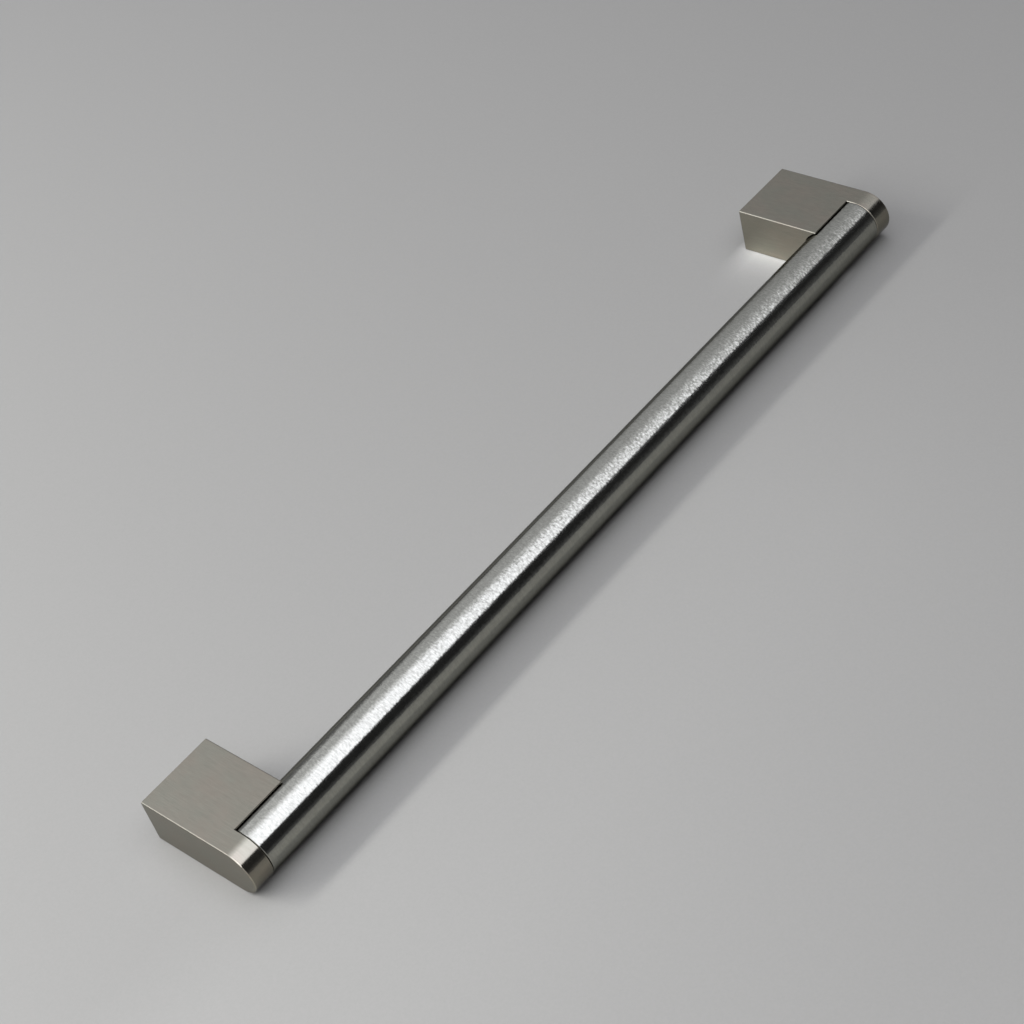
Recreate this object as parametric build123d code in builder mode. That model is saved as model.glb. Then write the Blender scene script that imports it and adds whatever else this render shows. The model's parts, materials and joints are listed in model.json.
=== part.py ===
from build123d import *
import os
from math import sqrt

# Bar pull handle: two cast feet and a round tube trapped between their noses.
# Frame: the origin lies on the door face, midway between the two screw holes.
# X runs along the bar, the handle stands out from the door towards -Y, and Z is up.
# Lying on a table it rests on the flat lower sides of its feet.

# Driving dimensions of the whole handle, in millimetres
hole_centres = 256.0
projection = 37.8

# Cast foot
foot_width = 23.3
nose_width = 6.5
edge_radius = 0.35
back_edge_break = 0.3
seam_edge_break = 0.15

# Bar tube
tube_diameter = 14.5
tube_wall = 1.2
tube_edge_break = 0.15
tube_end_gap = 0.2

# Seat in each foot, which the tube passes through without touching
seat_clearance = 0.3
lip_thickness = 0.24
lip_edge_break = 0.1

# Spigot on each nose, which plugs the tube's end, with its crush ribs
spigot_length = 14.0
spigot_clearance = 0.35
spigot_lead_in = 0.8
rib_count = 4
rib_width = 1.4
rib_clearance = 0.02
rib_setback = 2.0

# Blind hole for an M4 machine screw, at its thread's core diameter
screw_core_diameter = 3.3
screw_hole_depth = 13.0
screw_hole_lead_in = 0.5

# Two lightening pockets in each foot's back, one each side of the screw boss
pocket_wall = 2.5
boss_width = 8.5
pocket_floor = 4.0
pocket_corner_radius = 1.0
pocket_draft = 1.0

# Sizes and places that follow: each foot is as thick as the tube, so that its nose carries on
# the tube's surface, and the seat's lips end where they have thinned to their set thickness
foot_thickness = tube_diameter
half_thickness = foot_thickness / 2
tube_radius = tube_diameter / 2
bore_radius = tube_radius - tube_wall
axis_y = half_thickness - projection
seat_radius = tube_radius + seat_clearance
lip_setback = sqrt(seat_radius**2 - (half_thickness - lip_thickness) ** 2)
lip_y = axis_y + lip_setback
foot_x = hole_centres / 2
outer_x = -foot_x - foot_width / 2
nose_x = outer_x + nose_width
inner_x = outer_x + foot_width
pocket_width = (foot_width - 2 * pocket_wall - boss_width) / 2
pocket_height = foot_thickness - 2 * pocket_wall
pocket_offset = (boss_width + pocket_width) / 2
pocket_depth = -(axis_y + seat_radius) - pocket_floor


def on_plane(edges, axis, place):
    """The edges that lie wholly on one plane square to an axis."""
    return edges.filter_by_position(axis, place - 0.001, place + 0.001)


# Foot at the left end: block and half-round nose, drawn from the side and pushed along the bar
with BuildPart() as left_foot:
    with BuildSketch(Plane.YZ.offset(outer_x)):
        with BuildLine():
            lower = Line((axis_y, -half_thickness), (0, -half_thickness))
            back = Line(lower @ 1, (0, half_thickness))
            upper = Line(back @ 1, (axis_y, half_thickness))
            ThreePointArc(upper @ 1, (-projection, 0), lower @ 0)
        make_face()
    extrude(amount=foot_width)

    # Rounded edges round both ends, and a small bevel about the mounting face
    ends = on_plane(left_foot.edges(), Axis.X, outer_x) + on_plane(left_foot.edges(), Axis.X, inner_x)
    fillet(ends.filter_by(Axis.Z, reverse=True), edge_radius)
    chamfer(on_plane(left_foot.edges(), Axis.Y, 0), back_edge_break)

    # Seat: a trough round the tube's axis, open at the front, with its two lips cut back square
    with BuildSketch(Plane.YZ.offset(nose_x)):
        with Locations((axis_y, 0)):
            Circle(seat_radius)
        with Locations((lip_y, 0)):
            Rectangle(projection, 2 * foot_thickness, align=(Align.MAX, Align.CENTER))
    extrude(amount=foot_width, mode=Mode.SUBTRACT)
    seam_edges = on_plane(left_foot.edges(), Axis.X, nose_x).filter_by(GeomType.CIRCLE)
    chamfer(seam_edges.sort_by(Axis.Y)[0], seam_edge_break)
    lip_edges = on_plane(left_foot.edges().filter_by(Axis.X), Axis.Y, lip_y)
    chamfer(lip_edges.group_by(Axis.Z)[0] + lip_edges.group_by(Axis.Z)[-1], lip_edge_break)

    # Spigot with its crush ribs
    with BuildSketch(Plane.YZ.offset(nose_x)):
        with Locations((axis_y, 0)):
            Circle(bore_radius - spigot_clearance)
    extrude(amount=spigot_length)
    chamfer(on_plane(left_foot.edges(), Axis.X, nose_x + spigot_length), spigot_lead_in)
    with BuildSketch(Plane.YZ.offset(nose_x)):
        with Locations((axis_y, 0)):
            with PolarLocations(0, rib_count):
                Rectangle(bore_radius, rib_width, align=(Align.MIN, Align.CENTER))
            Circle(bore_radius - rib_clearance, mode=Mode.INTERSECT)
    extrude(amount=spigot_length - rib_setback)

    # Screw hole, blind, with a lead-in at its mouth
    with BuildSketch(Plane.XZ):
        with Locations((-foot_x, 0)):
            Circle(screw_core_diameter / 2)
    extrude(amount=screw_hole_depth, mode=Mode.SUBTRACT)
    mouth = on_plane(left_foot.edges(), Axis.Y, 0).filter_by(lambda edge: edge.is_closed)
    chamfer(mouth, screw_hole_lead_in)

    # Lightening pockets, drawn on the mounting face and tapering inwards
    with BuildSketch(Plane.XZ):
        with Locations((-foot_x - pocket_offset, 0), (-foot_x + pocket_offset, 0)):
            RectangleRounded(pocket_width, pocket_height, pocket_corner_radius)
    extrude(amount=pocket_depth, taper=pocket_draft, mode=Mode.SUBTRACT)

# Tube: its two cut ends stop short of the noses by the width of the seam
with BuildPart() as bar_tube:
    tube_length = 2 * (-nose_x - tube_end_gap)
    with BuildSketch(Plane.YZ.offset(-tube_length / 2)):
        with Locations((axis_y, 0)):
            Circle(tube_radius)
            Circle(bore_radius, mode=Mode.SUBTRACT)
    extrude(amount=tube_length)
    end_rims = bar_tube.edges().filter_by(GeomType.CIRCLE).group_by(SortBy.RADIUS)[-1]
    chamfer(end_rims, tube_edge_break)

# Foot at the right end: the same casting, turned half a turn about the door's normal
right_foot = left_foot.part.rotate(Axis.Y, 180)

left_foot.part.label = "left_foot"
right_foot.label = "right_foot"
bar_tube.part.label = "bar_tube"

os.makedirs("parts", exist_ok=True)
export_step(left_foot.part, "parts/left_foot.step")
export_step(right_foot, "parts/right_foot.step")
export_step(bar_tube.part, "parts/bar_tube.step")
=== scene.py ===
import json
import math

import bpy
from bpy.props import FloatProperty, FloatVectorProperty, PointerProperty
from mathutils import Matrix, Vector


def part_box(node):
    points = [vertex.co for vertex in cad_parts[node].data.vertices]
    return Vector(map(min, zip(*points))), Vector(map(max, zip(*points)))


bl_info = {
    "name": "Bar Pull Handle",
    "version": (1, 0, 0),
    "blender": (4, 5, 0),
    "location": "3D View > Sidebar > Pull Handle",
    "description": "Finishes, studio and view for a tubular bar pull handle with cast feet",
    "category": "Object",
}

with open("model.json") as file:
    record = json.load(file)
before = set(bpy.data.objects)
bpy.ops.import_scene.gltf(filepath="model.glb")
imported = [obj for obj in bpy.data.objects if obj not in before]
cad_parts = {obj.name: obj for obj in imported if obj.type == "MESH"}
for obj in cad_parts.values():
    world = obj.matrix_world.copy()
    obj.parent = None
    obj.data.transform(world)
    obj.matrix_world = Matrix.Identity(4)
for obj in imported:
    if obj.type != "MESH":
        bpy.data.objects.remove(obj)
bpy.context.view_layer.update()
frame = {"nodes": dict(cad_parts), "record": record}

MM = 0.001
SCREW_HOLES = frame["record"]["mounts"][0]["dims"]
HALF_SPAN = SCREW_HOLES["spacing_x_mm"] * MM / 2
HOLE_RADIUS = SCREW_HOLES["hole_r_mm"] * MM
FOOT_LOW, FOOT_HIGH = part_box("left_foot")
TUBE_LOW, TUBE_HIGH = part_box("bar_tube")
TUBE_RADIUS = (TUBE_HIGH[2] - TUBE_LOW[2]) / 2
TUBE_AXIS_Y = TUBE_LOW[1] + TUBE_RADIUS
FLOOR_HEIGHT = FOOT_LOW[2]


# Settings a user would change

class NickelSettings(bpy.types.PropertyGroup):
    """Satin nickel plating of the two cast feet"""
    colour: FloatVectorProperty(
        name="Plating colour", description="Colour of the satin nickel",
        subtype="COLOR", size=3, min=0, max=1, default=(0.247, 0.234, 0.194))
    roughness: FloatProperty(
        name="Roughness", description="How far the satin surface spreads a reflection",
        subtype="FACTOR", min=0, max=1, default=0.2)
    anisotropy: FloatProperty(
        name="Anisotropy", description="How much wider reflections spread across the grain",
        subtype="FACTOR", min=0, max=1, default=0.85)
    grain_width: FloatProperty(
        name="Grain width", description="Width of one grain line",
        subtype="DISTANCE", unit="LENGTH", min=0.00005, max=0.002, default=0.00022, precision=5)
    grain_length: FloatProperty(
        name="Grain length", description="Length of one grain line, from the door to the nose",
        subtype="DISTANCE", unit="LENGTH", min=0.0005, max=0.05, default=0.009, precision=5)
    grain_depth: FloatProperty(
        name="Grain depth", description="Height of the grain lines",
        subtype="DISTANCE", unit="LENGTH", min=0, max=0.0001, default=0.0000045, precision=7)
    thread_pitch: FloatProperty(
        name="Thread pitch", description="Rise of the screw thread in one turn",
        subtype="DISTANCE", unit="LENGTH", min=0.0002, max=0.002, default=0.0007, precision=5)


class SteelSettings(bpy.types.PropertyGroup):
    """Brushed stainless steel of the bar"""
    colour: FloatVectorProperty(
        name="Steel colour", description="Colour of the brushed tube",
        subtype="COLOR", size=3, min=0, max=1, default=(0.330, 0.328, 0.289))
    roughness: FloatProperty(
        name="Roughness", description="How far the brushed surface spreads a reflection",
        subtype="FACTOR", min=0, max=1, default=0.16)
    anisotropy: FloatProperty(
        name="Anisotropy", description="How much wider reflections spread across the brush lines",
        subtype="FACTOR", min=0, max=1, default=0.7)
    streak_width: FloatProperty(
        name="Streak width", description="Width of one brush line, along the bar",
        subtype="DISTANCE", unit="LENGTH", min=0.00005, max=0.002, default=0.0004, precision=5)
    streak_length: FloatProperty(
        name="Streak length", description="Length of one brush line, round the girth",
        subtype="DISTANCE", unit="LENGTH", min=0.0005, max=0.05, default=0.0016, precision=5)
    glint_width: FloatProperty(
        name="Glint width", description="Width of one glinting brush mark, along the bar",
        subtype="DISTANCE", unit="LENGTH", min=0.00005, max=0.002, default=0.00055, precision=5)
    glint_length: FloatProperty(
        name="Glint length", description="Length of one glinting brush mark, round the girth",
        subtype="DISTANCE", unit="LENGTH", min=0.0001, max=0.01, default=0.0008, precision=5)
    glint_tilt: FloatProperty(
        name="Glint tilt", description="How far a brush mark tips the surface along the bar",
        min=0, max=2, default=0.26)


class StudioSettings(bpy.types.PropertyGroup):
    """Table and light round the handle"""
    table_size: FloatProperty(
        name="Table size", description="Width and depth of the table",
        subtype="DISTANCE", unit="LENGTH", min=1, max=40, default=14)
    table_colour: FloatVectorProperty(
        name="Table colour", description="Colour of the matt table",
        subtype="COLOR", size=3, min=0, max=1, default=(0.227, 0.2235, 0.207))
    ceiling_glow: FloatProperty(
        name="Ceiling glow", description="Strength of the bright ceiling and of the walls",
        min=0, max=5, default=3.2)
    lamp_power: FloatProperty(
        name="Lamp power", description="Power of the long lamp behind the bar",
        subtype="POWER", unit="POWER", min=0, max=100, default=21.0)
    lamp_length: FloatProperty(
        name="Lamp length", description="Length of the lamp, which hangs parallel to the bar",
        subtype="DISTANCE", unit="LENGTH", min=0.05, max=5, default=1.4)
    lamp_width: FloatProperty(
        name="Lamp width", description="Width of the lamp",
        subtype="DISTANCE", unit="LENGTH", min=0.01, max=3, default=0.1)
    lamp_place: FloatVectorProperty(
        name="Lamp place", description="Middle of the lamp, beyond the near foot and behind the bar",
        subtype="TRANSLATION", unit="LENGTH", size=3, default=(-1.04, 0.68, 0.695))


class ViewSettings(bpy.types.PropertyGroup):
    """Where the camera stands"""
    focal_length: FloatProperty(
        name="Focal length", description="Focal length on a 36 mm sensor, in millimetres",
        min=10, max=300, default=74.279)
    distance: FloatProperty(
        name="Distance", description="Distance from the camera to its aim",
        subtype="DISTANCE", unit="LENGTH", min=0.1, max=5, default=0.584543)
    azimuth: FloatProperty(
        name="Azimuth", description="Turn of the view, from the door side towards the far foot",
        subtype="ANGLE", unit="ROTATION", default=math.radians(38.6321))
    elevation: FloatProperty(
        name="Elevation", description="Height of the camera above the table",
        subtype="ANGLE", unit="ROTATION", default=math.radians(42.2299))
    roll: FloatProperty(
        name="Roll", description="Turn of the camera about its own line of sight",
        subtype="ANGLE", unit="ROTATION", default=math.radians(17.1921))
    aim: FloatVectorProperty(
        name="Aim", description="Point on the table in the middle of the picture",
        subtype="TRANSLATION", unit="LENGTH", size=3, default=(-0.007097, -0.007384, -0.00725),
        precision=6)


# Node helpers

# Ways in which a ramp can run over its span
RISING = (0.0, 1.0)
FALLING = (1.0, 0.0)

# A noise texture's values lie mostly in this range
MOST_NOISE = (0.3, 0.7)

# The Mix node's sockets by number, because it has several of each name
MIX_AMOUNT = 0
MIX_FLOATS = (2, 3)
MIX_COLOURS = (6, 7)
MIX_COLOUR_OUTPUT = 2


def fill_inputs(tree, node, inputs):
    """Link sockets to a node's inputs, and set its other inputs to plain values."""
    for name, value in inputs.items():
        socket = node.inputs[name]
        if isinstance(value, bpy.types.NodeSocket):
            tree.links.new(value, socket)
        else:
            socket.default_value = value


def add_node(tree, kind, inputs=None, **settings):
    """Add a node, set its properties and fill its inputs."""
    node = tree.nodes.new(kind)
    for name, value in settings.items():
        setattr(node, name, value)
    fill_inputs(tree, node, inputs or {})
    return node


def math_node(tree, operation, *values):
    """Output of a Math node."""
    return add_node(tree, "ShaderNodeMath", dict(enumerate(values)), operation=operation).outputs[0]


def product(tree, first, *others):
    """Product of several values."""
    for other in others:
        first = math_node(tree, "MULTIPLY", first, other)
    return first


def total(tree, first, *others):
    """Sum of several values."""
    for other in others:
        first = math_node(tree, "ADD", first, other)
    return first


def ramp_value(tree, value, span, result=RISING, smooth=False):
    """Value carried from the span to the result, and held at the result's ends outside the span."""
    kind = "SMOOTHSTEP" if smooth else "LINEAR"
    inputs = {"Value": value, "From Min": span[0], "From Max": span[1],
              "To Min": result[0], "To Max": result[1]}
    node = add_node(tree, "ShaderNodeMapRange", inputs, interpolation_type=kind, clamp=True)
    return node.outputs["Result"]


def soft_window(tree, value, rise, fall):
    """1 between a soft rise and a soft fall, and 0 outside them."""
    return product(tree, ramp_value(tree, value, rise, smooth=True),
                   ramp_value(tree, value, fall, FALLING, smooth=True))


def vector_math(tree, operation, first, second=None):
    """Node that calculates with one or two vectors."""
    inputs = {0: first} if second is None else {0: first, 1: second}
    return add_node(tree, "ShaderNodeVectorMath", inputs, operation=operation)


def split(tree, vector):
    """The X, Y and Z parts of a vector."""
    return tuple(add_node(tree, "ShaderNodeSeparateXYZ", {0: vector}).outputs)


def joined(tree, x, y=0.0, z=0.0):
    """Vector made of three parts."""
    return add_node(tree, "ShaderNodeCombineXYZ", {"X": x, "Y": y, "Z": z}).outputs[0]


def noise_value(tree, place, lengths, detail, roughness):
    """Noise whose lumps have the given lengths along X, Y and Z, in metres."""
    per_metre = tuple(1 / length for length in lengths)
    inputs = {"Vector": vector_math(tree, "MULTIPLY", place, per_metre).outputs[0],
              "Scale": 1.0, "Detail": detail, "Roughness": roughness}
    return add_node(tree, "ShaderNodeTexNoise", inputs).outputs["Fac"]


def tinted(tree, low, high, amount):
    """Colour between two colours."""
    inputs = {MIX_AMOUNT: amount, MIX_COLOURS[0]: (*low, 1.0), MIX_COLOURS[1]: (*high, 1.0)}
    return add_node(tree, "ShaderNodeMix", inputs, data_type="RGBA").outputs[MIX_COLOUR_OUTPUT]


def shaded(tree, colour, factor):
    """Colour times a factor that changes over the surface."""
    inputs = {0: colour, "Scale": factor}
    return add_node(tree, "ShaderNodeVectorMath", inputs, operation="SCALE").outputs[0]


def shade(colour, factor):
    """Plain colour made lighter or darker."""
    return tuple(min(1.0, channel * factor) for channel in colour)


def grey(level):
    """Opaque grey."""
    return level, level, level, 1.0


def new_material(name):
    """Empty material: its node tree and its Principled shader."""
    material = bpy.data.materials.new(name)
    material.use_nodes = True
    tree = material.node_tree
    tree.nodes.clear()
    shader = add_node(tree, "ShaderNodeBsdfPrincipled")
    add_node(tree, "ShaderNodeOutputMaterial", {"Surface": shader.outputs["BSDF"]})
    return material, tree, shader


def put_on(node_name, material):
    """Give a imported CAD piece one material."""
    piece = frame["nodes"][node_name]
    piece.data.materials.clear()
    piece.data.materials.append(material)


# The cast feet. Lengths are in metres, and shades are factors on the plating colour.

SCRATCH_SIZE = (3.0, 0.4)  # width and length against the grain lines
GRAIN_SHARES = (0.6, 0.4)  # grain lines and scratches in the brushed surface
GRAIN_SHADES = (0.9, 1.1)  # darkest and palest grain line
CLOUD_SIZE = (0.006, 0.009, 0.006)
CLOUD_SPAN = (0.35, 0.65)
CLOUD_TINTS = ((0.98, 1.0, 0.98), (1.03, 0.99, 0.97))  # faint green, faint warm
NICKEL_SPECK_SIZE = (0.0005, 0.0005, 0.0005)
NICKEL_SPECK_SPAN = (0.66, 0.74)  # only the noise's highest tips make specks
NICKEL_SPECK_SHADE = 1.16
UNEVEN_SHARES = (0.5, 0.5)  # clouds and scratches in the uneven roughness
NICKEL_ROUGHNESS_SPREAD = (0.9, 1.12)  # least and most, against the roughness setting
NICKEL_GRAZING_TINT = 0.75  # keeps faces seen at a flat angle from paling

THREAD_WALL = (HOLE_RADIUS + 0.00005, HOLE_RADIUS + 0.0001)  # the thread ends between these radii
THREAD_MOUTH = (-0.0006, -0.0005)  # Y between which it begins, below the bevel of the hole
# Painted shade in the grooves of the screw thread
THREAD_GROOVE_PAINTED_SHADE = 0.35
THREAD_DEPTH = 0.5  # against the pitch

END_FACE_SPAN = (0.9, 1.0)  # X of the surface's direction on the flat ends
# Painted light: the flat ends are made lighter
END_FACE_PAINTED_LIGHT = 1.18
RIM_SPAN = (0.1, 0.5)  # how far the rounded rim of a nose faces the front
RIM_PAINTED_HIGHLIGHT = 2.0  # painted highlight, added in full where the rim also faces half along the bar
FACING_NEAR = (-1.0, -0.9)  # X of the surface's direction on faces towards the near end
PAINTED_PATCH_LIGHT = 0.24  # painted light on the far foot's inner face, standing in for light from the bright patch of the table
FAR_HALF = (0.0, 0.1)  # X over which that light sets in, between the middle and the far foot


def along_grain(tree, spot, end_face):
    """Place measured along the grain: from the door to the nose, then round the nose."""
    x, y, z = spot
    forward = math_node(tree, "SUBTRACT", TUBE_AXIS_Y, y)
    angle = math_node(tree, "ARCTAN2", math_node(tree, "MAXIMUM", forward, 0.0),
                      math_node(tree, "ABSOLUTE", z))
    along = total(tree, math_node(tree, "MINIMUM", forward, 0.0), product(tree, angle, TUBE_RADIUS))
    return joined(tree, x, along, product(tree, z, end_face))


def screw_thread(tree, spot, pitch):
    """Thread on the walls of the screw holes: its height from groove to ridge, and where it is."""
    x, y, z = spot
    across = math_node(tree, "SUBTRACT", math_node(tree, "ABSOLUTE", x), HALF_SPAN)
    turn = math_node(tree, "DIVIDE", math_node(tree, "ARCTAN2", z, across), 2 * math.pi)
    rise = math_node(tree, "DIVIDE", y, pitch)
    ridge = product(tree, math_node(tree, "PINGPONG", total(tree, turn, rise), 0.5), 2.0)
    radius = math_node(tree, "SQRT", total(tree, math_node(tree, "POWER", across, 2.0),
                                           math_node(tree, "POWER", z, 2.0)))
    in_hole = product(tree, ramp_value(tree, radius, THREAD_WALL, FALLING),
                      ramp_value(tree, y, THREAD_MOUTH, FALLING))
    return ridge, in_hole


def painted_face_light(tree, spot, facing, end_face):
    """Painted light on each side of a foot: lighter flat ends, a painted highlight on the nose rims, and
    painted light from the table's patch.
    """
    painted_end_light = ramp_value(tree, end_face, END_FACE_SPAN, (1.0, END_FACE_PAINTED_LIGHT))
    # Painted highlight along the rounded rims of the noses
    rim = product(tree, math_node(tree, "PINGPONG", end_face, 0.5),
                  ramp_value(tree, product(tree, facing[1], -1.0), RIM_SPAN, (0.0, RIM_PAINTED_HIGHLIGHT)))
    # Painted light: the far foot's inner face is made lighter where it stands in the bright patch of the
    # table.
    painted_patch_light = product(tree, ramp_value(tree, facing[0], FACING_NEAR, (PAINTED_PATCH_LIGHT, 0.0)),
                          ramp_value(tree, spot[0], FAR_HALF))
    return total(tree, painted_end_light, painted_patch_light, rim)


def satin_nickel(settings):
    """Nickel-plated casting: fine grain from the door to the nose, faint warm and green clouds, painted
    shade in the thread's grooves and painted light on the ends, rims and far inner face.
    """
    material, tree, shader = new_material("satin nickel")
    coordinates = add_node(tree, "ShaderNodeTexCoord")
    place = coordinates.outputs["Object"]
    spot = split(tree, place)
    facing = split(tree, coordinates.outputs["Normal"])
    end_face = math_node(tree, "ABSOLUTE", facing[0])

    grain = along_grain(tree, spot, end_face)
    width, length = settings.grain_width, settings.grain_length
    scratch_width, scratch_length = width * SCRATCH_SIZE[0], length * SCRATCH_SIZE[1]
    lines = noise_value(tree, grain, (width, length, width), detail=3.0, roughness=0.6)
    scratches = noise_value(tree, grain, (scratch_width, scratch_length, scratch_width),
                            detail=4.0, roughness=0.7)
    clouds = noise_value(tree, place, CLOUD_SIZE, detail=4.0, roughness=0.6)
    specks = noise_value(tree, place, NICKEL_SPECK_SIZE, detail=3.0, roughness=0.7)

    brushed = total(tree, product(tree, lines, GRAIN_SHARES[0]), product(tree, scratches, GRAIN_SHARES[1]))
    metal = tinted(tree, shade(settings.colour, GRAIN_SHADES[0]), shade(settings.colour, GRAIN_SHADES[1]),
                   ramp_value(tree, brushed, MOST_NOISE))
    tint = tinted(tree, *CLOUD_TINTS, ramp_value(tree, clouds, CLOUD_SPAN))
    toned = vector_math(tree, "MULTIPLY", metal, tint).outputs[0]
    speckled = shaded(tree, toned, ramp_value(tree, specks, NICKEL_SPECK_SPAN, (1.0, NICKEL_SPECK_SHADE)))

    ridge, in_hole = screw_thread(tree, spot, settings.thread_pitch)
    # Painted shade darkens the grooves of the screw thread, and the sides of the foot get painted light.
    groove = product(tree, math_node(tree, "SUBTRACT", 1.0, ridge), in_hole)
    shades = product(tree, ramp_value(tree, groove, RISING, (1.0, THREAD_GROOVE_PAINTED_SHADE)),
                     painted_face_light(tree, spot, facing, end_face))

    unevenness = total(tree, product(tree, clouds, UNEVEN_SHARES[0]),
                       product(tree, scratches, UNEVEN_SHARES[1]))
    least, most = (settings.roughness * factor for factor in NICKEL_ROUGHNESS_SPREAD)
    grain_bump = add_node(tree, "ShaderNodeBump", {
        "Height": brushed, "Strength": 1.0, "Distance": settings.grain_depth})
    thread_bump = add_node(tree, "ShaderNodeBump", {
        "Height": product(tree, ridge, in_hole), "Strength": 1.0,
        "Distance": settings.thread_pitch * THREAD_DEPTH, "Normal": grain_bump.outputs["Normal"]})
    fill_inputs(tree, shader, {
        "Base Color": shaded(tree, speckled, shades),
        "Metallic": 1.0,
        "Roughness": ramp_value(tree, unevenness, MOST_NOISE, (least, most)),
        "Anisotropic": settings.anisotropy,
        "Specular Tint": grey(NICKEL_GRAZING_TINT),
        "Tangent": joined(tree, math_node(tree, "SUBTRACT", 1.0, end_face), 0.0, end_face),
        "Normal": thread_bump.outputs["Normal"],
    })
    return material


class PULLHANDLE_OT_finish_feet(bpy.types.Operator):
    """Give both cast feet their satin nickel plating"""
    bl_idname = "pull_handle.finish_feet"
    bl_label = "Finish the Feet"
    bl_options = {"REGISTER", "UNDO"}

    def execute(self, context):
        nickel = satin_nickel(context.scene.pull_handle_nickel)
        put_on("left_foot", nickel)
        put_on("right_foot", nickel)
        return {"FINISHED"}


# The tube. Lengths are in metres, and shades are factors on the steel colour.

STREAK_SHADES = (0.89, 1.09)  # darkest and palest brush line
DRIFT_SIZE = (0.009, 0.012, 0.012)
STEEL_SPECK_SIZE = (0.00045, 0.0007, 0.0007)
STEEL_SPECK_SPAN = (0.74, 0.80)  # only the noise's highest tips make specks
STEEL_SPECK_SHADE = 1.25
GLINT_SHARES = (0.6, 0.4)  # glints and drift in the uneven roughness
STEEL_ROUGHNESS_SPREAD = (0.85, 1.2)  # least and most, against the roughness setting
STEEL_GRAZING_TINT = 0.3  # keeps the tube's edges from paling
QUARTER_TURN = 0.25  # in whole turns
MIDDLE_NOISE = 0.5  # a noise texture's middle value


def brushed_stainless(settings):
    """Stainless tube: short brush lines round the girth, glinting marks, sparse bright specks."""
    material, tree, shader = new_material("brushed stainless")
    place = add_node(tree, "ShaderNodeTexCoord").outputs["Object"]

    streak_size = (settings.streak_width, settings.streak_length, settings.streak_length)
    glint_size = (settings.glint_width, settings.glint_length, settings.glint_length)
    streaks = noise_value(tree, place, streak_size, detail=2.0, roughness=0.6)
    glints = noise_value(tree, place, glint_size, detail=1.0, roughness=0.5)
    drift = noise_value(tree, place, DRIFT_SIZE, detail=2.0, roughness=0.5)
    specks = noise_value(tree, place, STEEL_SPECK_SIZE, detail=1.0, roughness=0.5)

    metal = tinted(tree, shade(settings.colour, STREAK_SHADES[0]), shade(settings.colour, STREAK_SHADES[1]),
                   ramp_value(tree, streaks, MOST_NOISE))
    lifted = ramp_value(tree, specks, STEEL_SPECK_SPAN, (1.0, STEEL_SPECK_SHADE))
    unevenness = total(tree, product(tree, glints, GLINT_SHARES[0]), product(tree, drift, GLINT_SHARES[1]))
    least, most = (settings.roughness * factor for factor in STEEL_ROUGHNESS_SPREAD)

    girth = add_node(tree, "ShaderNodeTangent", direction_type="RADIAL", axis="X")

    # Each brush mark is a groove round the girth, so it tips the surface along the bar alone.
    tilt = product(tree, math_node(tree, "SUBTRACT", glints, MIDDLE_NOISE), settings.glint_tilt)
    surface = add_node(tree, "ShaderNodeNewGeometry").outputs["Normal"]
    tipped = vector_math(tree, "ADD", surface, joined(tree, tilt)).outputs[0]
    fill_inputs(tree, shader, {
        "Base Color": shaded(tree, metal, lifted),
        "Metallic": 1.0,
        "Roughness": ramp_value(tree, unevenness, MOST_NOISE, (least, most)),
        "Anisotropic": settings.anisotropy,
        "Anisotropic Rotation": QUARTER_TURN,
        "Specular Tint": grey(STEEL_GRAZING_TINT),
        "Tangent": girth.outputs["Tangent"],
        "Normal": vector_math(tree, "NORMALIZE", tipped).outputs[0],
    })
    return material


class PULLHANDLE_OT_finish_tube(bpy.types.Operator):
    """Give the bar its brushed stainless finish"""
    bl_idname = "pull_handle.finish_tube"
    bl_label = "Finish the Tube"
    bl_options = {"REGISTER", "UNDO"}

    def execute(self, context):
        put_on("bar_tube", brushed_stainless(context.scene.pull_handle_steel))
        return {"FINISHED"}


# The table. Lengths are in metres, and shades are factors on the table colour.

# Painted shade: the table is made darker towards the far end and towards the right of the picture
TOWARDS_FAR = (0.75, 0.45, 0.0)  # direction over the table, and the span along it
FAR_SPAN = (-0.16, 0.27)
FAR_PAINTED_SHADE = 0.77
TOWARDS_RIGHT = (0.62, -0.755, 0.0)  # another direction, and the span along it
RIGHT_SPAN = (-0.2, 0.2)
RIGHT_PAINTED_SHADES = (1.08, 0.86)  # at the left and at the right of the picture
TABLE_GRAIN_SIZE = (0.0007, 0.0007, 0.0007)
TABLE_GRAIN_SHADES = (0.98, 1.02)
TABLE_ROUGHNESS = 0.55
TABLE_SPECULAR_LEVEL = 0.3

BEYOND_SHADOW = (-0.048, -0.022)  # Y over which painted extra light sets in, past the tube's shadow
BEYOND_END = (-0.18, -0.09)  # Y over which it dies away in front
BEYOND_LIGHT_SPAN = (0.03, 0.14)  # X over which it dies away towards the far foot
BEYOND_PAINTED_LIGHT = 0.075
CONTACT_SPAN = (0.0034, 0.0056)  # distances from under the tube's axis at which the painted dark line of shadow ends
CONTACT_PAINTED_SHADOW = 0.6

NEAR_PAINTED_PATCH = (0.1, 0.006)  # strength and reach of the painted light beside the near foot
FAR_PAINTED_PATCH = (1.95, 0.0045)
PATCH_END = (0.002, 0.006)  # distances in under the foot between which it ends
PATCH_DOOR_SPAN = (-0.0045, 0.003)  # Y over which it dies away towards the door
PATCH_BAR_LENGTH = 0.012  # length over which it dies away under the tube


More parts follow.
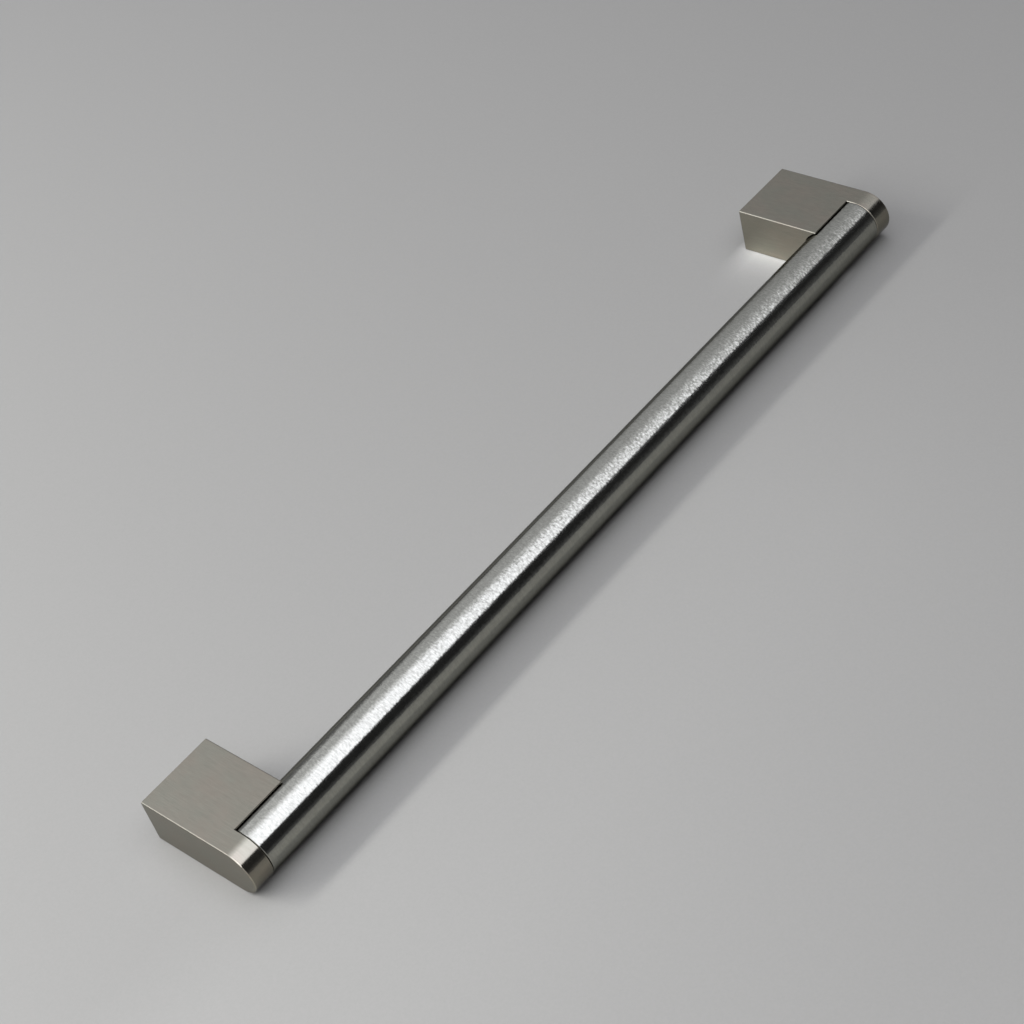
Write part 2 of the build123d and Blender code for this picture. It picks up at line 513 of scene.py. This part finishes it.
def painted_thrown_light(tree, x, y, face_x, strength, reach):
    """Painted light on the table beside a foot's side face, standing in for the lamp's light that the face
    throws back down.
    """
    nearness = math_node(tree, "EXPONENT", math_node(
        tree, "DIVIDE", math_node(tree, "SUBTRACT", x, face_x), reach))
    past_face = (face_x + PATCH_END[0], face_x + PATCH_END[1])
    beside = product(tree, math_node(tree, "MINIMUM", nearness, 1.0),
                     ramp_value(tree, x, past_face, FALLING))
    along = product(tree, ramp_value(tree, y, PATCH_DOOR_SPAN, FALLING),
                    ramp_value(tree, y, (TUBE_LOW[1], TUBE_LOW[1] + PATCH_BAR_LENGTH)))
    return total(tree, product(tree, beside, along, strength), 1.0)


def painted_light_by_tube(tree, x, y):
    """Painted light just beyond the tube's shadow, and a painted dark line of shadow under the tube."""
    # Painted extra light beyond the tube's shadow, dying away towards the far foot
    beyond = product(tree, ramp_value(tree, y, BEYOND_SHADOW, FALLING), ramp_value(tree, y, BEYOND_END))
    extra = product(tree, beyond, ramp_value(tree, x, BEYOND_LIGHT_SPAN, (BEYOND_PAINTED_LIGHT, 0.0)))
    # Painted contact shadow: a dark line under the tube, along the bar between the feet
    aside = math_node(tree, "ABSOLUTE", math_node(tree, "SUBTRACT", y, TUBE_AXIS_Y))
    from_middle = math_node(tree, "ABSOLUTE", x)
    under = product(tree, ramp_value(tree, aside, CONTACT_SPAN, (CONTACT_PAINTED_SHADOW, 0.0)),
                    ramp_value(tree, from_middle, (-FOOT_HIGH[0], -FOOT_LOW[0]), FALLING))
    return product(tree, math_node(tree, "SUBTRACT", 1.0, under), total(tree, extra, 1.0))


def build_table(settings):
    """Plain matt table with painted shade towards the far end and the right, painted light where the metal
    would throw it, and painted light and shadow by the tube.
    """
    half = settings.table_size / 2
    corners = [(-half, -half), (half, -half), (half, half), (-half, half)]
    mesh = bpy.data.meshes.new("table")
    mesh.from_pydata([(x, y, FLOOR_HEIGHT) for x, y in corners], [], [(0, 1, 2, 3)])
    table = bpy.data.objects.new("table", mesh)
    bpy.context.scene.collection.objects.link(table)

    material, tree, shader = new_material("pale table")
    place = add_node(tree, "ShaderNodeTexCoord").outputs["Object"]
    x, y, _ = split(tree, place)
    to_far = vector_math(tree, "DOT_PRODUCT", place, TOWARDS_FAR).outputs["Value"]
    to_right = vector_math(tree, "DOT_PRODUCT", place, TOWARDS_RIGHT).outputs["Value"]
    # Painted shade, darker towards the far end and the right
    far_painted_shade = tinted(tree, settings.table_colour, shade(settings.table_colour, FAR_PAINTED_SHADE),
                       ramp_value(tree, to_far, FAR_SPAN))
    painted_shade_falloff = shaded(tree, far_painted_shade, ramp_value(tree, to_right, RIGHT_SPAN, RIGHT_PAINTED_SHADES))
    grain = noise_value(tree, place, TABLE_GRAIN_SIZE, detail=3.0, roughness=0.6)
    # Painted light and shadow: patches beside the feet, light beyond the tube's shadow and a dark line
    # under it; the grain is the table's own
    light = product(tree, painted_thrown_light(tree, x, y, FOOT_LOW[0], *NEAR_PAINTED_PATCH),
                    painted_thrown_light(tree, x, y, -FOOT_HIGH[0], *FAR_PAINTED_PATCH),
                    painted_light_by_tube(tree, x, y),
                    ramp_value(tree, grain, MOST_NOISE, TABLE_GRAIN_SHADES))
    fill_inputs(tree, shader, {
        "Base Color": shaded(tree, painted_shade_falloff, light),
        "Roughness": TABLE_ROUGHNESS,
        "Specular IOR Level": TABLE_SPECULAR_LEVEL,
    })
    mesh.materials.append(material)


# The room, as light by direction. A side runs from -1 towards the near end of the bar to 1 towards the
# far end. An angle runs in degrees from the horizon in front, over the handle, to the horizon behind.

PANEL_FRONT = ((0.30, 0.64), (46.0, 58.0))  # sides, and the front edge's angle at each
PANEL_FULL = ((0.40, 0.50), (92.0, 66.0))  # sides, and the angle at each up to which it is full
PANEL_BACK = 121.0  # angle at which it has faded out
PANEL_FALL_OFF = 1.4  # power of that fading
PANEL_EDGE = (-0.8, 0.8)  # degrees over which its front edge sets in
PANEL_NEAR_EDGE = (-0.6, -0.3)  # sides over which it sets in towards the near end
PANEL_FAR_EDGE = (0.41, 0.665)  # sides over which it dies away towards the far end
PANEL_GLOW = 0.62
PANEL_TINT = (0.98, 1.0, 1.14)  # colour in which the metal mirrors it

WALL_PAINT = ((0.15, 0.75), (0.345, 0.14))  # sides, and the wall's glow at each
NEAR_WALL_PAINT = ((0.22, 0.38), (0.07, 0.0))  # added to it towards the near end
DARK_BACK_SIDE = 0.30
DARK_BACK_HEIGHT = 34.0  # of the dark part behind, in degrees above the horizon, at that side
DARK_BACK_GROWTH = 8.0  # how fast it grows towards the near end
DARK_BACK_LIMIT = 32.0  # its greatest height
DARK_BACK_EDGE = (-1.0, 1.0)  # degrees over which it ends
DARK_BACK_SHADE = 0.27  # share of the wall's glow that is left in it
UNLIT_GLOW = 0.0085  # what every direction has at least
ROOM_TINT = (0.985, 1.0, 1.085)

LOW_GLOW = 0.038  # at the horizon in front
LOW_GLOW_TOP = ((0.42, 0.60), (14.0, 30.0))  # sides, and the angle at each where it ends
TABLE_HORIZON = (-2.0, -1.0)  # angles over which it sets in
FRONT_WALL = ((-0.15, 0.05), (0.12, 0.0))  # sides, and the wall's glow at each

WINDOW_SIDES = ((-0.85, -0.7), (-0.45, -0.25))  # where it sets in, and where it ends
WINDOW_ANGLES = ((122.0, 130.0), (140.0, 148.0))  # the same
WINDOW_GLOW = 0.8

BACKDROP_GLOW = 0.5  # what the camera sees past the edge of the table
HALF_TURN = 180.0  # degrees


def grey_walls(tree, side, angle, past_front):
    """Grey walls, dark below the panel's front edge and low down behind."""
    paint = total(tree, ramp_value(tree, side, *WALL_PAINT), ramp_value(tree, side, *NEAR_WALL_PAINT))
    height = math_node(tree, "SUBTRACT", HALF_TURN, angle)
    growth = math_node(tree, "EXPONENT", product(
        tree, math_node(tree, "SUBTRACT", DARK_BACK_SIDE, side), DARK_BACK_GROWTH))
    dark_top = math_node(tree, "MINIMUM", product(tree, DARK_BACK_HEIGHT, growth), DARK_BACK_LIMIT)
    above_dark = ramp_value(tree, math_node(tree, "SUBTRACT", height, dark_top),
                            DARK_BACK_EDGE, (DARK_BACK_SHADE, 1.0))
    return total(tree, product(tree, past_front, paint, above_dark), UNLIT_GLOW)


def light_room(settings):
    """World: a bright ceiling panel, grey walls, and a dark front, each as light by direction."""
    world = bpy.data.worlds.new("studio room")
    world.use_nodes = True
    tree = world.node_tree
    tree.nodes.clear()
    rays = add_node(tree, "ShaderNodeLightPath").outputs
    side, into_door, up = split(tree, add_node(tree, "ShaderNodeTexCoord").outputs["Generated"])
    front = product(tree, into_door, -1.0)
    angle = math_node(tree, "DEGREES", math_node(tree, "ARCTAN2", up, front))

    # The panel's front edge lies lower on the near side, and it fades back sooner on the far side.
    from_edge = math_node(tree, "SUBTRACT", angle, ramp_value(tree, side, *PANEL_FRONT))
    past_front = ramp_value(tree, from_edge, PANEL_EDGE, smooth=True)
    full_at = ramp_value(tree, side, *PANEL_FULL)
    before_back = math_node(tree, "POWER", ramp_value(tree, angle, (full_at, PANEL_BACK), FALLING),
                            PANEL_FALL_OFF)
    panel = product(tree, past_front, before_back, soft_window(tree, side, PANEL_NEAR_EDGE, PANEL_FAR_EDGE))

    # The dark front pales a little low down, and higher up towards the far side.
    low_glow = product(tree, ramp_value(tree, angle, (0.0, ramp_value(tree, side, *LOW_GLOW_TOP)),
                                        (LOW_GLOW, 0.0)),
                       ramp_value(tree, angle, TABLE_HORIZON))

    # A dim wall in front, towards the near end, shows in the metal and throws no light on the table.
    front_wall = product(tree, rays["Is Glossy Ray"], ramp_value(tree, side, *FRONT_WALL, smooth=True))

    # A pale window behind and beyond the near foot draws the light line along the edges.
    window = product(tree, soft_window(tree, side, *WINDOW_SIDES),
                     soft_window(tree, angle, *WINDOW_ANGLES), WINDOW_GLOW)

    room = total(tree, grey_walls(tree, side, angle, past_front), total(tree, front_wall, low_glow),
                 total(tree, product(tree, panel, PANEL_GLOW), window))
    glow = product(tree, room, settings.ceiling_glow)
    shown = add_node(tree, "ShaderNodeMix", {
        MIX_AMOUNT: rays["Is Camera Ray"], MIX_FLOATS[0]: glow, MIX_FLOATS[1]: BACKDROP_GLOW},
        data_type="FLOAT")
    tint = tinted(tree, ROOM_TINT, PANEL_TINT, product(tree, panel, rays["Is Glossy Ray"]))
    backdrop = add_node(tree, "ShaderNodeBackground", {"Color": tint, "Strength": shown.outputs[0]})
    add_node(tree, "ShaderNodeOutputWorld", {"Surface": backdrop.outputs[0]})
    bpy.context.scene.world = world


# The lamp, the camera and the operators that place them

SENSOR_WIDTH = 36.0  # millimetres
CLIP_START = 0.01  # metres


def hang_lamp(settings):
    """Long lamp parallel to the bar, behind it and beyond the near foot: it draws the soft shadow."""
    data = bpy.data.lights.new("long lamp", "AREA")
    data.shape = "RECTANGLE"
    data.size = settings.lamp_length
    data.size_y = settings.lamp_width
    data.energy = settings.lamp_power
    lamp = bpy.data.objects.new("long lamp", data)
    lamp.visible_glossy = False
    lamp.location = settings.lamp_place
    lamp.rotation_euler.x = -math.atan2(settings.lamp_place[1], settings.lamp_place[2])
    bpy.context.scene.collection.objects.link(lamp)


class PULLHANDLE_OT_build_studio(bpy.types.Operator):
    """Lay the table and light the room"""
    bl_idname = "pull_handle.build_studio"
    bl_label = "Build the Studio"
    bl_options = {"REGISTER", "UNDO"}

    def execute(self, context):
        settings = context.scene.pull_handle_studio
        build_table(settings)
        light_room(settings)
        hang_lamp(settings)
        context.scene.view_settings.view_transform = "Standard"
        return {"FINISHED"}


class PULLHANDLE_OT_place_camera(bpy.types.Operator):
    """Place the camera where the handle is seen along its length from above"""
    bl_idname = "pull_handle.place_camera"
    bl_label = "Place the Camera"
    bl_options = {"REGISTER", "UNDO"}

    def execute(self, context):
        settings = context.scene.pull_handle_view
        data = bpy.data.cameras.new("camera")
        data.sensor_fit = "HORIZONTAL"
        data.sensor_width = SENSOR_WIDTH
        data.lens = settings.focal_length
        data.clip_start = CLIP_START
        camera = bpy.data.objects.new("camera", data)
        forward = Vector((math.sin(settings.azimuth) * math.cos(settings.elevation),
                          math.cos(settings.azimuth) * math.cos(settings.elevation),
                          -math.sin(settings.elevation)))
        level = forward.to_track_quat("-Z", "Y").to_matrix().to_4x4()
        rolled = level @ Matrix.Rotation(-settings.roll, 4, "Z")
        camera.matrix_world = Matrix.Translation(
            Vector(settings.aim) - forward * settings.distance) @ rolled
        context.scene.collection.objects.link(camera)
        context.scene.camera = camera
        return {"FINISHED"}


class PULLHANDLE_PT_sidebar(bpy.types.Panel):
    """Sidebar page of the pull handle"""
    bl_idname = "PULLHANDLE_PT_sidebar"
    bl_label = "Bar Pull Handle"
    bl_space_type = "VIEW_3D"
    bl_region_type = "UI"
    bl_category = "Pull Handle"

    def draw(self, context):
        rows = (
            ("pull_handle.finish_feet", context.scene.pull_handle_nickel),
            ("pull_handle.finish_tube", context.scene.pull_handle_steel),
            ("pull_handle.build_studio", context.scene.pull_handle_studio),
            ("pull_handle.place_camera", context.scene.pull_handle_view),
        )
        for operator, settings in rows:
            box = self.layout.box()
            for name in settings.__annotations__:
                box.prop(settings, name)
            box.operator(operator)


CLASSES = (
    NickelSettings,
    SteelSettings,
    StudioSettings,
    ViewSettings,
    PULLHANDLE_OT_finish_feet,
    PULLHANDLE_OT_finish_tube,
    PULLHANDLE_OT_build_studio,
    PULLHANDLE_OT_place_camera,
    PULLHANDLE_PT_sidebar,
)


def register():
    """Register the classes and hang the settings on the scene."""
    for cls in CLASSES:
        bpy.utils.register_class(cls)
    bpy.types.Scene.pull_handle_nickel = PointerProperty(type=NickelSettings)
    bpy.types.Scene.pull_handle_steel = PointerProperty(type=SteelSettings)
    bpy.types.Scene.pull_handle_studio = PointerProperty(type=StudioSettings)
    bpy.types.Scene.pull_handle_view = PointerProperty(type=ViewSettings)


def unregister():
    """Undo what register does, in the opposite order."""
    del bpy.types.Scene.pull_handle_view
    del bpy.types.Scene.pull_handle_studio
    del bpy.types.Scene.pull_handle_steel
    del bpy.types.Scene.pull_handle_nickel
    for cls in reversed(CLASSES):
        bpy.utils.unregister_class(cls)


def main():
    """Dress the handle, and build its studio."""
    register()
    bpy.ops.pull_handle.finish_feet()
    bpy.ops.pull_handle.finish_tube()
    bpy.ops.pull_handle.build_studio()
    bpy.ops.pull_handle.place_camera()


if __name__ == "__main__":
    main()
